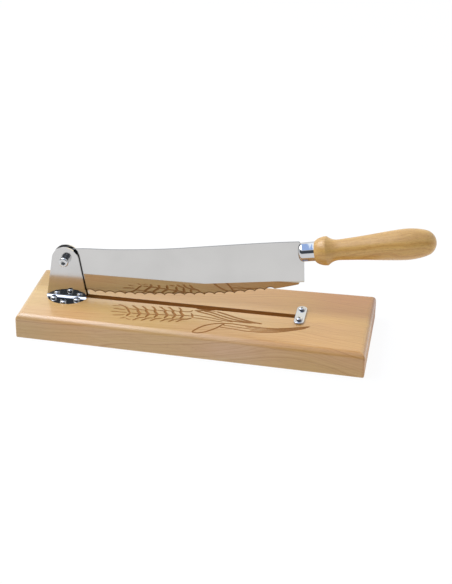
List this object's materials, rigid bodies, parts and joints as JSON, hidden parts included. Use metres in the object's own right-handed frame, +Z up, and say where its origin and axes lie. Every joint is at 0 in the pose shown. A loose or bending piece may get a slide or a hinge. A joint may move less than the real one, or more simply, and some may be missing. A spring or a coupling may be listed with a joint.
{
  "type": "bread guillotine slicer",
  "caption": "Wooden bread board with a cutting slot, and a serrated steel blade with a turned wooden handle that pivots between two upright brackets and comes down through the loaf.",
  "frame": {"origin": "middle of the board's flat underside, on the plane of the blade, which passes through the cutting slot", "axes": "+X along the board towards the handle end, +Z up, away from the surface it stands on, -Y towards the front of the board"},
  "size_m": [0.4416, 0.1366, 0.1436],
  "materials": {
    "board_wood": "satin",
    "handle_wood": "gloss",
    "blade_steel": "polished",
    "bracket_steel": "polished",
    "ferrule_chrome": "polished",
    "screw_steel": "satin",
    "bronze_bush": "satin",
    "nylon_ring": "matte"
  },
  "bodies": {
    "base": {"base_board": "board_wood", "front_bracket": "bracket_steel", "rear_bracket": "bracket_steel", "front_bracket_screws": "screw_steel", "rear_bracket_screws": "screw_steel", "stop_plate": "bracket_steel", "stop_plate_screws": "screw_steel", "pivot_bolt": "screw_steel", "front_washer": "screw_steel", "rear_washer": "screw_steel", "front_spacer": "screw_steel", "rear_spacer": "screw_steel", "lock_nut": "screw_steel", "nut_lock_ring": "nylon_ring"},
    "arm": {"blade": "blade_steel", "pivot_bush": "bronze_bush", "ferrule": "ferrule_chrome", "handle": "handle_wood"}
  },
  "joints": [
    {"name": "blade_pivot", "type": "hinge", "parent": "base", "child": "arm", "pos_m": [-0.147, 0, 0.0726], "axis": [0, -1, 0], "range_deg": [-8.9, 81]}
  ]
}
